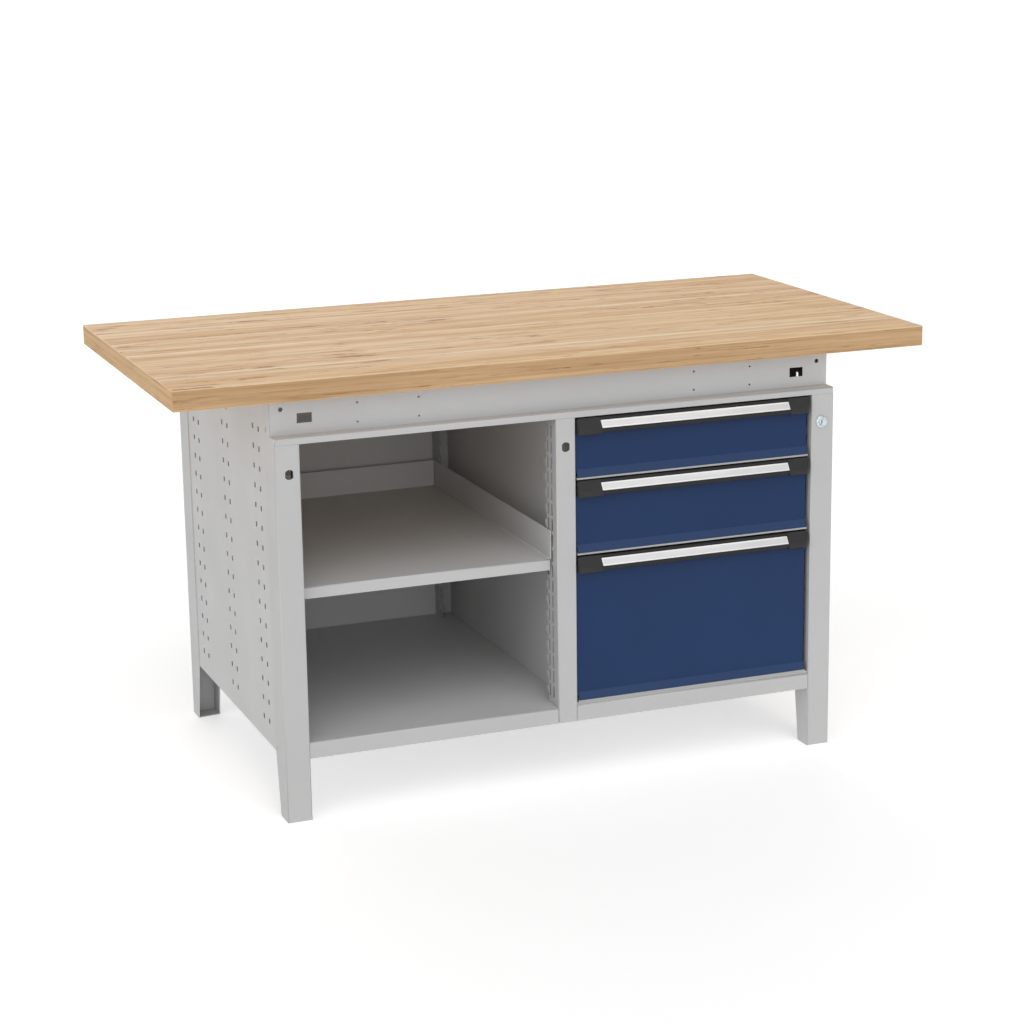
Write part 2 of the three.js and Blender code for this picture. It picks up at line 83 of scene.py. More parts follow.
# ------------------------------------------------------------------ material helpers
class Tree:
    def __init__(self, name):
        self.mat = bpy.data.materials.new(name)
        self.mat.use_nodes = True
        self.t = self.mat.node_tree
        self.t.nodes.clear()
        out = self.add("ShaderNodeOutputMaterial")
        self.bsdf = self.add("ShaderNodeBsdfPrincipled")
        self.t.links.new(self.bsdf.outputs["BSDF"], out.inputs["Surface"])
        coord = self.add("ShaderNodeTexCoord")
        self.obj = coord.outputs["Object"]
        self.normal = coord.outputs["Normal"]

    def add(self, kind, **props):
        n = self.t.nodes.new(kind)
        for k, v in props.items():
            setattr(n, k, v)
        return n

    def put(self, socket, value):
        if isinstance(value, bpy.types.NodeSocket):
            self.t.links.new(value, socket)
        else:
            socket.default_value = value

    def stretch(self, vec, sx, sy, sz, move=(0, 0, 0)):
        n = self.add("ShaderNodeMapping")
        self.put(n.inputs["Vector"], vec)
        n.inputs["Scale"].default_value = (sx, sy, sz)
        self.put(n.inputs["Location"], move)
        return n.outputs["Vector"]

    def noise(self, vec, scale=1.0, detail=2.0, rough=0.5, twist=0.0):
        n = self.add("ShaderNodeTexNoise")
        self.put(n.inputs["Vector"], vec)
        n.inputs["Scale"].default_value = scale
        n.inputs["Detail"].default_value = detail
        n.inputs["Roughness"].default_value = rough
        n.inputs["Distortion"].default_value = twist
        return n.outputs["Fac"]

    def white(self, value):
        n = self.add("ShaderNodeTexWhiteNoise", noise_dimensions="1D")
        self.put(n.inputs["W"], value)
        return n.outputs["Value"], n.outputs["Color"]

    def calc(self, op, a, b=0.0, clamp=False):
        n = self.add("ShaderNodeMath", operation=op, use_clamp=clamp)
        self.put(n.inputs[0], a)
        self.put(n.inputs[1], b)
        return n.outputs[0]

    def remap(self, v, a, b, c, d):
        n = self.add("ShaderNodeMapRange")
        self.put(n.inputs["Value"], v)
        for k, x in zip(("From Min", "From Max", "To Min", "To Max"), (a, b, c, d)):
            self.put(n.inputs[k], x)
        return n.outputs["Result"]

    def ramp(self, v, *stops):
        n = self.add("ShaderNodeValToRGB")
        self.put(n.inputs["Fac"], v)
        e = n.color_ramp.elements
        while len(e) < len(stops):
            e.new(0.5)
        for x, (p, c) in zip(e, stops):
            x.position = p
            x.color = c
        return n.outputs["Color"]

    def mix(self, fac, a, b, blend="MIX"):
        n = self.add("ShaderNodeMix", data_type="RGBA", blend_type=blend)
        self.put(n.inputs["Factor"], fac)
        self.put(n.inputs[6], a)
        self.put(n.inputs[7], b)
        return n.outputs[2]

    def parts(self, vec):
        n = self.add("ShaderNodeSeparateXYZ")
        self.put(n.inputs[0], vec)
        return n.outputs[0], n.outputs[1], n.outputs[2]

    def bump(self, height, strength, distance, under=None):
        n = self.add("ShaderNodeBump")
        self.put(n.inputs["Height"], height)
        n.inputs["Strength"].default_value = strength
        n.inputs["Distance"].default_value = distance
        if under is not None:
            self.put(n.inputs["Normal"], under)
        return n.outputs["Normal"]

    def surface(self, colour, rough, normal=None, metal=0.0, spec=0.5, **fixed):
        b = self.bsdf.inputs
        self.put(b["Base Color"], colour)
        self.put(b["Roughness"], rough)
        b["Metallic"].default_value = metal
        b["Specular IOR Level"].default_value = spec
        for k, v in fixed.items():
            b[k].default_value = v
        if normal is not None:
            self.put(b["Normal"], normal)
        return self.mat


def shade(c, k):
    return (c[0] * k, c[1] * k, c[2] * k, 1.0)


def paint(name, colour, rough, spec, peel=0.12, tone=0.025, wear_and_painted_highlight=None):
    """Powder coat: a fine orange peel, slow drift of tone and gloss, and a few pin-prick specks; on cut edges the paint
    is rubbed through in spots.
    """
    t = Tree(name)
    drift = t.noise(t.obj, 2.6, 3, 0.55)
    c = t.ramp(drift, (0.3, shade(colour, 1 - tone)), (0.7, shade(colour, 1 + tone)))
    specks = t.noise(t.obj, 900, 1, 0.4)
    c = t.mix(t.remap(specks, 0.70, 0.80, 0.0, 0.35), c, shade(colour, 0.82))
    if wear_and_painted_highlight:
        c = t.mix(t.remap(t.noise(t.obj, 85, 4, 0.65), 0.46, 0.62, 0.0, 0.8), c, wear_and_painted_highlight)
    r = t.remap(t.noise(t.obj, 9, 4, 0.6), 0.3, 0.7, rough - 0.05, rough + 0.06)
    fine = t.noise(t.obj, 620, 2, 0.5)
    broad = t.noise(t.obj, 150, 2, 0.5)
    n = t.bump(broad, peel, 0.0003)
    n = t.bump(fine, peel * 1.3, 0.00012, n)
    return t.surface(c, r, n, 0.0, spec)


def timber(name, along, cross, tones, fleck, lines=(), depth=1.0, arris_wear_and_painted_light=False):
    """Oiled wood: broad bands, streaks of many lengths along the grain, short dark flecks, a few knots and pale glue
    lines; on edge and end faces, a pale top arris, part wear and part painted highlight, and an orange bottom arris,
    painted warm bounce light.
    """
    pale, tan, rose, dark = tones
    t = Tree(name)
    x, y, z = t.parts(t.obj)

    def s(l, a, k):
        """coordinates stretched along the grain"""
        a *= cross
        return t.stretch(t.obj, *((l, a, a) if along == "x" else (a, l, a)), (k, k * 0.37, k * 0.71))

    bands = t.noise(s(0.3, 15, 3.1), 1.0, 3, 0.6, 0.2)
    c = t.ramp(bands, (0.36, tan), (0.45, pale), (0.55, rose), (0.64, tan))
    long = t.noise(s(2.0, 44, 17), 1.0, 5, 0.68, 0.12)
    c = t.mix(t.remap(long, 0.50, 0.68, 0.0, 0.52 * depth), c, dark)
    bright = t.noise(s(2.6, 70, 41), 1.0, 4, 0.65)
    c = t.mix(t.remap(bright, 0.53, 0.66, 0.0, 0.65 * depth), c, pale)
    short = t.noise(s(6.8, 84, 29), 1.0, 5, 0.70, 0.15)
    c = t.mix(t.remap(short, 0.52, 0.66, 0.0, 0.68 * depth), c, dark)
    fibres = t.noise(s(14, 480, 31), 1.0, 3, 0.6)
    c = t.mix(t.remap(fibres, 0.45, 0.75, 0.0, 0.28), c, dark)
    where = t.remap(t.noise(s(1.3, 9, 51), 1.0, 2, 0.5), 0.38, 0.54, 0.15, 1.0)
    marks = t.remap(t.noise(s(9, 72, 71), 1.0, 5, 0.66, 0.35), 0.585, 0.635, 0.0, 1.0)
    marks = t.calc("MULTIPLY", marks, where, True)
    c = t.mix(t.calc("MULTIPLY", marks, 0.82 * depth), c, fleck)
    knots = t.add("ShaderNodeTexVoronoi", feature="F1")
    t.put(knots.inputs["Vector"], s(6, 13, 90))
    knots.inputs["Scale"].default_value = 1.0
    pick, g, b = t.parts(knots.outputs["Color"])
    spot = t.calc("MULTIPLY", t.remap(knots.outputs["Distance"], 0.02, 0.075, 1.0, 0.0), t.remap(pick, 0.66, 0.70, 0.0, 0.7))
    c = t.mix(spot, c, lin(158, 92, 54))
    for at, wide, k in lines:
        drift = t.remap(t.noise(s(0.8, 2, at * 40), 1.0, 2), 0.3, 0.7, -0.0025, 0.0025)
        off = t.calc("ABSOLUTE", t.calc("SUBTRACT", t.calc("ADD", y, drift), at))
        glow = t.calc("MULTIPLY", t.remap(off, wide * 0.4, wide, 1.0, 0.0), t.remap(t.noise(s(1.4, 3, 15 + at * 9), 1.0, 2), 0.35, 0.6, 0.35 * k, k), True)
        c = t.mix(glow, c, lin(241, 229, 211))
    if arris_wear_and_painted_light:
        # a pale line along the top arris: part wear, part painted highlight
        wear_and_painted_highlight = t.calc("MULTIPLY", t.remap(z, 0.8468, 0.8492, 0.0, 0.8), t.remap(long, 0.3, 0.6, 0.6, 1.0), True)
        c = t.mix(wear_and_painted_highlight, c, lin(238, 214, 182))
        # an orange line along the bottom arris: painted warm bounce light
        c = t.mix(t.remap(z, 0.8122, 0.8104, 0.0, 0.45), c, lin(204, 146, 92))
    r = t.remap(long, 0.3, 0.7, 0.46, 0.60)
    h = t.calc("ADD", t.calc("MULTIPLY", fibres, 0.7), t.calc("MULTIPLY", marks, -1.2))
    n = t.bump(long, 0.10, 0.0006)
    n = t.bump(h, 0.22, 0.00025, n)
    return t.surface(c, r, n, 0.0, 0.32)


def metal(name, colour, rough, along, scratch=0.25, brush=(6, 700)):
    """Plated or brushed metal with fine lines along one axis and cloudy plating."""
    t = Tree(name)
    a = [brush[1]] * 3
    a["xyz".index(along)] = brush[0]
    lines = t.noise(t.stretch(t.obj, *a), 1.0, 3, 0.6)
    cloud = t.noise(t.obj, 38, 4, 0.6)
    c = t.ramp(cloud, (0.3, shade(colour, 0.86)), (0.7, shade(colour, 1.06)))
    c = t.mix(t.remap(lines, 0.5, 0.75, 0.0, 0.35), c, shade(colour, 0.78))
    r = t.remap(t.calc("ADD", t.calc("MULTIPLY", lines, 0.5), t.calc("MULTIPLY", cloud, 0.5)), 0.3, 0.7, rough - 0.07, rough + 0.10)
    return t.surface(c, r, t.bump(lines, scratch, 0.0001), 1.0, 0.5)


def anodised(name, colour, rough):
    t = Tree(name)
    lines = t.noise(t.stretch(t.obj, 5, 900, 900), 1.0, 3, 0.6)
    dust = t.noise(t.obj, 60, 4, 0.65)
    c = t.ramp(dust, (0.35, shade(colour, 0.9)), (0.75, shade(colour, 1.25)))
    c = t.mix(t.remap(lines, 0.5, 0.8, 0.0, 0.4), c, shade(colour, 1.5))
    r = t.remap(lines, 0.3, 0.7, rough - 0.06, rough + 0.08)
    return t.surface(c, r, t.bump(lines, 0.15, 0.0001), 0.0, 0.3)


def moulded(name, colour, rough):
    """Grained injection-moulded plastic."""
    t = Tree(name)
    cells = t.add("ShaderNodeTexVoronoi", feature="F1")
    t.put(cells.inputs["Vector"], t.obj)
    cells.inputs["Scale"].default_value = 1500
    grain = t.noise(t.obj, 1100, 2, 0.6)
    cloud = t.noise(t.obj, 30, 3, 0.6)
    c = t.ramp(cloud, (0.3, shade(colour, 0.93)), (0.7, shade(colour, 1.10)))
    r = t.remap(grain, 0.3, 0.7, rough - 0.06, rough + 0.06)
    h = t.calc("ADD", cells.outputs["Distance"], t.calc("MULTIPLY", grain, 0.6))
    return t.surface(c, r, t.bump(h, 0.22, 0.00012), 0.0, 0.35)


def label(name):
    """A blank paper strip under a clear cover."""
    t = Tree(name)
    fibre = t.noise(t.stretch(t.obj, 260, 900, 900), 1.0, 4, 0.6)
    cloud = t.noise(t.obj, 14, 3, 0.6)
    c = t.ramp(cloud, (0.3, lin(211, 211, 211)), (0.7, lin(219, 219, 219)))
    c = t.mix(t.remap(fibre, 0.5, 0.8, 0.0, 0.25), c, lin(196, 196, 195))
    gen = t.add("ShaderNodeTexCoord").outputs["Generated"]
    gx, gy, gz = t.parts(gen)
    near = t.calc("MINIMUM", t.calc("MULTIPLY", t.calc("MINIMUM", gx, t.calc("SUBTRACT", 1.0, gx)), 28.0), t.calc("MINIMUM", gz, t.calc("SUBTRACT", 1.0, gz)))
    # lighter near the edges: a painted highlight along the strip's edges
    c = t.mix(t.remap(near, 0.13, 0.19, 1.0, 0.0), c, lin(238, 238, 237))
    r = t.remap(cloud, 0.3, 0.7, 0.28, 0.38)
    t.bsdf.inputs["Coat Weight"].default_value = 0.35
    t.bsdf.inputs["Coat Roughness"].default_value = 0.12
    return t.surface(c, r, t.bump(fibre, 0.05, 0.0001), 0.0, 0.4)


def floor_look(name):
    t = Tree(name)
    cloud = t.noise(t.obj, 0.8, 4, 0.6)
    c = t.ramp(cloud, (0.3, (0.80, 0.80, 0.80, 1)), (0.7, (0.82, 0.82, 0.82, 1)))
    r = t.remap(t.noise(t.obj, 40, 3, 0.6), 0.3, 0.7, 0.55, 0.7)
    t.bsdf.inputs["Emission Color"].default_value = (1, 1, 1, 1)
    t.bsdf.inputs["Emission Strength"].default_value = 0.39
    return t.surface(c, r, None, 0.0, 0.2)


GREY = (0.507, 0.507, 0.507, 1)
MAT = {
    "grey_paint": paint("grey_paint", GREY, 0.46, 0.35),
    # a slightly lighter copy of the grey for the interior parts: painted light
    "grey_inner": paint("grey_inner", shade(GREY, 1.02), 0.52, 0.3),
    "blue_paint": paint("blue_paint", (0.0085, 0.0300, 0.0960, 1), 0.40, 0.22, 0.14, 0.04),
    "black_plastic": moulded("black_plastic", (0.0195, 0.0195, 0.0195, 1), 0.5),
    "black_aluminium": anodised("black_aluminium", (0.014, 0.014, 0.015, 1), 0.42),
    "label_strip": label("label_strip"),
    "zinc_steel": metal("zinc_steel", lin(196, 201, 206), 0.34, "y"),
    "lock_chrome": metal("lock_chrome", lin(218, 228, 233), 0.32, "x", 0.1, (420, 420)),
}
# a darker copy of the grey for the legs, posts and some front faces: painted shade
FRAME_GREY_PAINTED_SHADE = paint("frame_grey_painted_shade", shade(GREY, 0.885), 0.46, 0.35)
# a slightly darker copy of the grey for the side panels, the shelf lip and the rail ledge: painted shade
PANEL_GREY_PAINTED_SHADE = paint("panel_grey_painted_shade", shade(GREY, 0.92), 0.46, 0.35)
# a lighter, cooler copy of the grey for the top rails: painted light against the shade and the warm bounce under the
# worktop
RAIL_GREY_PAINTED_LIGHT = paint("rail_grey_painted_light", (0.506, 0.520, 0.532, 1), 0.46, 0.35)


def look(node):
    # legs and posts take the darker copy of the grey and side panels the slightly darker one, painted shade; top rails
    # take the lighter, cooler one, painted light
    if node.startswith(("leg_", "centre_post")):
        return FRAME_GREY_PAINTED_SHADE
    if node.endswith("side_panel"):
        return PANEL_GREY_PAINTED_SHADE
    return RAIL_GREY_PAINTED_LIGHT if node.endswith("_top_rail") else MAT[SLOT[node]]


RIM = {
    "grey_paint": paint("grey_edge", shade(GREY, 1.10), 0.5, 0.35, wear_and_painted_highlight=shade(GREY, 1.32)),
    "grey_inner": paint("inner_edge", shade(GREY, 1.10), 0.5, 0.35, wear_and_painted_highlight=shade(GREY, 1.32)),
    "blue_paint": paint("blue_edge", (0.020, 0.048, 0.125, 1), 0.45, 0.14, wear_and_painted_highlight=(0.050, 0.085, 0.170, 1)),
}
# cut edges painted dark grey: painted shade in the centre posts' slots and in the gap behind the shelf's back wall
PAINTED_SHADE_EDGE = paint("painted_shade_edge", shade(GREY, 0.45), 0.55, 0.2)
# a near-black copy of the grey for the inner side of the front legs: painted shade inside the closed channel
LEG_INSIDE_PAINTED_SHADE = paint("leg_inside_painted_shade", shade(GREY, 0.20), 0.6, 0.2)
# a lighter copy of the blue for the drawer fronts' kicked-out lip: painted light from above
BLUE_LIP_PAINTED_LIGHT = paint("blue_lip_painted_light", (0.0210, 0.0460, 0.1190, 1), 0.42, 0.22, 0.14, 0.04)
# a darker copy of the grey for the strip under each drawer front: painted shade
BOX_STRIP_PAINTED_SHADE = paint("box_strip_painted_shade", shade(GREY, 0.72), 0.52, 0.3)
TOP_LOOK = timber("timber_top", "x", 1.0, (lin(236, 205, 162), lin(227, 188, 134), lin(218, 174, 125), lin(197, 143, 84)), lin(160, 88, 28),
                  ((-0.3050, 0.0030, 0.35), (-0.2475, 0.0050, 0.90), (-0.1300, 0.0030, 0.30), (-0.0150, 0.0050, 0.90), (0.1200, 0.0045, 0.80), (0.2350, 0.0035, 0.45)))
# the front edge and the end faces take darker wood tones than the top: painted shade on the upright faces
EDGE_LOOK_PAINTED_SHADE = timber("timber_edge_painted_shade", "x", 2.6, (lin(196, 165, 125), lin(182, 149, 108), lin(175, 141, 104), lin(153, 115, 76)), lin(122, 84, 49), depth=0.9, arris_wear_and_painted_light=True)
END_LOOK_PAINTED_SHADE = timber("timber_end_painted_shade", "y", 2.6, (lin(206, 168, 117), lin(193, 154, 102), lin(187, 147, 98), lin(164, 122, 73)), lin(130, 88, 49), depth=0.9, arris_wear_and_painted_light=True)
MAT["timber"] = TOP_LOOK


# ------------------------------------------------------------------ geometry helpers
def piece(name, bm, looks, replaces, body=None):
    me = bpy.data.meshes.new(name)
    bm.normal_update()
    bm.to_mesh(me)
    bm.free()
    ob = bpy.data.objects.new(name, me)
    bpy.context.scene.collection.objects.link(ob)
    for look in looks if isinstance(looks, (list, tuple)) else [looks]:
        me.materials.append(look)
    first = replaces[0] if replaces else None
    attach(ob, body or BODY[first])
    if replaces:
        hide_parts(*replaces)
    return ob


def soften(ob, width, segments=2, angle=35):
    """A small round on every sharp edge."""
    if ob.name in NODES:
        w = ob.modifiers.new("weld", "WELD")
        w.merge_threshold = 2e-6
    b = ob.modifiers.new("soft_edges", "BEVEL")
    b.width = width
    b.segments = segments
    b.limit_method = "ANGLE"
    b.angle_limit = math.radians(angle)
    b.use_clamp_overlap = True
    return ob


def inside(p, poly):
    c = False
    for i in range(len(poly)):
        (x0, y0), (x1, y1) = poly[i - 1], poly[i]
        if (y0 > p[1]) != (y1 > p[1]) and p[0] < (x1 - x0) * (p[1] - y0) / (y1 - y0) + x0:
            c = not c
    return c


def net(outline, holes, cuts):
    """Triangles of a flat outline with holes, parted along straight cuts."""
    vs, es = [], []
    for poly in [outline] + holes:
        k = len(vs)
        vs += [Vector(p) for p in poly]
        es += [(k + i, k + (i + 1) % len(poly)) for i in range(len(poly))]
    for a, b in cuts:
        es.append((len(vs), len(vs) + 1))
        vs += [Vector(a), Vector(b)]
    v, e, f = delaunay_2d_cdt(vs, es, [], 0, 1e-5)[:3]
    keep = []
    for t in f:
        c = sum((v[i] for i in t), Vector((0, 0))) / len(t)
        if inside(c, outline) and not any(inside(c, h) for h in holes):
            keep.append(t)
    return v, keep


class Path:
    """A bent section in mm: its sharp corners, measured along, and the radius of each bend."""

    def __init__(self, pts, radii, steps=6):
        self.p = [Vector(p) for p in pts]
        self.s = [0.0]
        for i in range(1, len(pts)):
            self.s.append(self.s[-1] + (self.p[i] - self.p[i - 1]).length)
        self.bends = []
        self.stops = []
        for i in range(1, len(pts) - 1):
            u = (self.p[i] - self.p[i - 1]).normalized()
            w = (self.p[i + 1] - self.p[i]).normalized()
            turn = math.atan2(u.x * w.y - u.y * w.x, u.dot(w))
            r = radii[i - 1] if isinstance(radii, (list, tuple)) else radii
            t = r * math.tan(abs(turn) / 2)
            side = 1 if turn > 0 else -1
            n = Vector((-u.y, u.x)) * side
            self.bends.append((self.s[i] - t, self.s[i] + t, self.p[i] - u * t + n * r, -n * r, turn))
            self.stops += [self.s[i] - t + 2 * t * q / steps for q in range(steps + 1)]

    def at(self, s):
        for a, b, c, arm, turn in self.bends:
            if a < s < b:
                k = (s - a) / (b - a) * turn
                return c + Vector((arm.x * math.cos(k) - arm.y * math.sin(k), arm.x * math.sin(k) + arm.y * math.cos(k)))
        i = 0
        while i < len(self.s) - 2 and s > self.s[i + 1]:
            i += 1
        return self.p[i].lerp(self.p[i + 1], (s - self.s[i]) / (self.s[i + 1] - self.s[i]))

    def bent(self, s):
        return any(a < s < b for a, b, c, arm, turn in self.bends)


def rect(u0, v0, u1, v1):
    return [(u0, v0), (u1, v0), (u1, v1), (u0, v1)]


def ring(u, v, r, n=28, half=None):
    """A round hole, or one with two flats."""
    pts = [(r * math.cos(2 * math.pi * (i + 0.5) / n), r * math.sin(2 * math.pi * (i + 0.5) / n)) for i in range(n)]
    if half:
        pts = [(max(-half, min(half, a)), b) for a, b in pts]
    return [(u + a, v + b) for a, b in pts]


def sheet(node, lay, outline, holes, stops, bent, out, thick=1.5, cuts=(), extra=None, edge=None, more=(), spot=None, within=None):
    """Folded sheet metal, laid out flat and put in place by lay(s, v): bends, cut-outs and the sheet's own thickness."""
    v0, v1 = min(p[1] for p in outline) - 5, max(p[1] for p in outline) + 5
    flat, tris = net(outline, holes, [((s, v0), (s, v1)) for s in stops] + list(cuts))
    bm = bmesh.new()
    vs = [bm.verts.new(Vector(lay(*p)) * MM) for p in flat]
    sign = 0.0
    for t in tris:
        try:
            f = bm.faces.new([vs[i] for i in t])
        except ValueError:
            continue
        c = sum((flat[i] for i in t), Vector((0, 0))) / len(t)
        f.smooth = bent(c)
        f.material_index = spot(c) if spot else 0
        f.normal_update()
        sign += f.normal.dot(Vector(out)) * f.calc_area()
    bmesh.ops.delete(bm, geom=[v for v in bm.verts if not v.link_faces], context="VERTS")
    if sign < 0:
        bmesh.ops.reverse_faces(bm, faces=bm.faces[:])
    if extra:
        extra(bm)
    ob = piece(node + "_sheet", bm, [look(node), edge or RIM[SLOT[node]], *more, *([within] if within else [])], [node])
    m = ob.modifiers.new("thickness", "SOLIDIFY")
    m.thickness = thick * MM
    m.offset = -1
    m.use_even_offset = True
    m.use_quality_normals = True
    m.material_offset_rim = 1
    if within:
        m.material_offset = 2 + len(more)
    return ob


def fillet(pts, radii, n=5):
    """A closed polygon with round corners."""
    out = []
    k = len(pts)
    for i in range(k):
        p, a, b = Vector(pts[i]), Vector(pts[i - 1]), Vector(pts[(i + 1) % k])
        r = radii[i] if isinstance(radii, (list, tuple)) else radii
        u, v = (a - p), (b - p)
        lu, lv = u.length, v.length
        u.normalize()
        v.normalize()
        half = math.acos(max(-1, min(1, u.dot(v)))) / 2
        if r <= 0 or half > math.radians(86):
            out.append(p)
            continue
        d = min(r / math.tan(half), 0.48 * lu, 0.48 * lv)
        r = d * math.tan(half)
        c = p + (u + v).normalized() * (r / math.sin(half))
        s, e = p + u * d - c, p + v * d - c
        t0 = math.atan2(s.y, s.x)
        dt = math.atan2(e.y, e.x) - t0
        dt = (dt + math.pi) % (2 * math.pi) - math.pi
        for q in range(n + 1):
            t = t0 + dt * q / n
            out.append(c + Vector((math.cos(t), math.sin(t))) * r)
    return out


def drawn(section, x0, x1, place):
    """A closed section drawn out along X; place turns (section u, v) into (y, z)."""
    bm = bmesh.new()
    rings = []
    for x in (x0, x1):
        rings.append([bm.verts.new((x, *place(p))) for p in section])
    k = len(section)
    for i in range(k):
        f = bm.faces.new((rings[0][i], rings[0][(i + 1) % k], rings[1][(i + 1) % k], rings[1][i]))
        f.smooth = True
    bm.faces.new(rings[0][::-1])
    bm.faces.new(rings[1])
    bmesh.ops.recalc_face_normals(bm, faces=bm.faces[:])
    for e in bm.edges:
        if len(e.link_faces) == 2 and e.calc_face_angle(0) > math.radians(28):
            e.smooth = False
    return bm


def lathe(profile, n, cx, cz):
    """A closed profile of (radius, y) turned about an axis along Y."""
    bm = bmesh.new()
    rings = []
    for i in range(n):
        t = 2 * math.pi * i / n
        rings.append([bm.verts.new((cx + r * math.cos(t), y, cz + r * math.sin(t))) for r, y in profile])
    k = len(profile)
    for i in range(n):
        a, b = rings[i], rings[(i + 1) % n]
        for j in range(k):
            f = bm.faces.new((a[j], a[(j + 1) % k], b[(j + 1) % k], b[j]))
            f.smooth = True
    bmesh.ops.recalc_face_normals(bm, faces=bm.faces[:])
    for e in bm.edges:
        if e.calc_face_angle(0) > math.radians(28):
            e.smooth = False
    return bm


# ------------------------------------------------------------------ worktop
lo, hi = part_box("worktop")
bm = bmesh.new()
bmesh.ops.create_cube(bm, size=1.0)
for v in bm.verts:
    v.co = Vector((lo[i] + (v.co[i] + 0.5) * (hi[i] - lo[i]) for i in range(3)))
got = bmesh.ops.bevel(bm, geom=bm.edges[:], offset=0.0022, offset_type="OFFSET", segments=4, profile=0.5, affect="EDGES")
for f in got["faces"]:
    f.smooth = True
bm.normal_update()
for f in bm.faces:
    a = [abs(c) for c in f.normal]
    f.material_index = 0 if a[2] >= max(a) - 0.2 else (1 if a[1] > a[0] else 2)
piece("worktop_board", bm, [TOP_LOOK, EDGE_LOOK_PAINTED_SHADE, END_LOOK_PAINTED_SHADE], ["worktop"])

# ------------------------------------------------------------------ sheet metal (millimetres)
FX, FY, S, INNER = 572, 358, 1.5, 524
BASE_Z, FLOOR_Z, LIP_Z, LEDGE_Z, UNDER = 122, 153.3, 727.4, 739.4, 810
BEND = 2.2
SLOTS = [180 + 30.5 * i for i in range(18)]
DRAWERS = {1: (724.5, 609), 2: (602.3, 460), 3: (452.5, 163)}


def slot_row(s):
    return [rect(s - 3.5, z - 11.5, s + 3.5, z + 11.5) for z in SLOTS]


for name, sx, sy in (("front_left", -1, -1), ("front_right", 1, -1), ("rear_left", -1, 1), ("rear_right", 1, 1)):
    path = Path([(sx * FX, sy * (FY - 66)), (sx * FX, sy * FY), (sx * INNER, sy * FY), (sx * INNER, sy * (FY - 57))], BEND)
    top = LIP_Z - 0.3
    outline = [(20, 0), (0, BASE_Z), (0, 806.5), (34.2, 806.5), (34.2, LEDGE_Z), (63.6, LEDGE_Z), (63.6, top),
               (116.4, top), (116.4, LIP_Z - 2), (171, LIP_Z - 2), (171, BASE_Z), (154, 0)]
    holes = [rect(11.5, 743.5, 15.5, 754), rect(11, 129, 16, 138)] + slot_row(137.5)
    if sx < 0 or sy > 0:
        holes += slot_row(156)
    if sy < 0:
        holes.append(ring(93, 672, 9.4) if sx > 0 else ring(93, 672, 9.4, 28, 7.8))
        if sx > 0:
            holes += [rect(144, low + 46, 156, low + 72) for t, low in DRAWERS.values()]

    def sole(bm):
        pts = [(INNER + S, FY - S), (FX - S, FY - S), (FX - S, FY - 46), (INNER + S, FY - 40)]
        f = bm.faces.new([bm.verts.new((sx * x * MM, sy * y * MM, 0)) for x, y in pts])
        f.normal_update()
        if f.normal.z > 0:
            f.normal_flip()

    # the inner side of the front legs takes the near-black copy of the grey: painted shade
    sheet("leg_" + name, lambda s, v: (*path.at(s), v), outline, holes, path.stops, lambda c: path.bent(c.x), (0, sy, 0), extra=sole,
          within=LEG_INSIDE_PAINTED_SHADE if sy < 0 else None)

for name, sy in (("front", -1), ("rear", 1)):
    path = Path([(-20, sy * (FY - 59)), (-20, sy * FY), (20, sy * FY), (20, sy * (FY - 59))], BEND)
    z0, z1 = BASE_Z + 0.3, LIP_Z - 0.3
    outline = [(158, z0), (158, z1), (9, z1)]
    for z in reversed(SLOTS):
        outline += [(9, z + 5.5), (0, z + 5), (0, z - 3.2), (9, z - 12.5)]
    outline += [(9, FLOOR_Z + 0.3), (57.5, FLOOR_Z + 0.3), (57.5, z0)]
    holes = slot_row(35.5) + slot_row(17) + slot_row(122.5)
    if sy < 0:
        holes.append(ring(79, 672, 9.4, 28, 7.8))
    # the cut edges, slot sides included, take the dark grey: painted shade in the slots
    sheet("centre_post_" + name, lambda s, v: (*path.at(s), v), outline, holes, path.stops, lambda c: path.bent(c.x), (0, sy, 0),
          thick=0.9, edge=PAINTED_SHADE_EDGE)

for name, sy in (("front", -1), ("rear", 1)):
    path = Path([(sy * FY, LIP_Z), (sy * FY, LEDGE_Z), (sy * 328, LEDGE_Z), (sy * 328, UNDER - 0.3), (sy * 306, UNDER - 0.3)], [BEND, 0.7, BEND])
    cutoff = 112.3 - BEND - 0.1
    outline = [(0, -570.2), (cutoff, -570.2), (cutoff, -553), (134.3, -553), (134.3, 553), (cutoff, 553), (cutoff, 570.2), (0, 570.2)]
    holes = []
    if sy < 0:
        for sx in (-1, 1):
            holes.append(ring(90.6, sx * 549, 4.2))
            holes.append(rect(62.6, sx * 504.1 - 14.5, 81.1, sx * 504.1 + 14.5))
            holes += [ring(s, sx * x, 2, 16) for x in (281.9, 402.3) for s in (55.4, 91.6)]
    # the front lip takes the darker frame copy and the ledge the darker panel copy of the grey, painted shade; the
    # apron above keeps the lighter rail copy, painted light
    sheet(name + "_top_rail", lambda s, v: (v, *path.at(s)), outline, holes, path.stops, lambda c: path.bent(c.x), (0, sy, 0),
          more=[FRAME_GREY_PAINTED_SHADE, RIM["grey_paint"], PANEL_GREY_PAINTED_SHADE, RIM["grey_paint"]], spot=lambda c: 2 if c.x < 12 else (4 if c.x < 42 else 0))

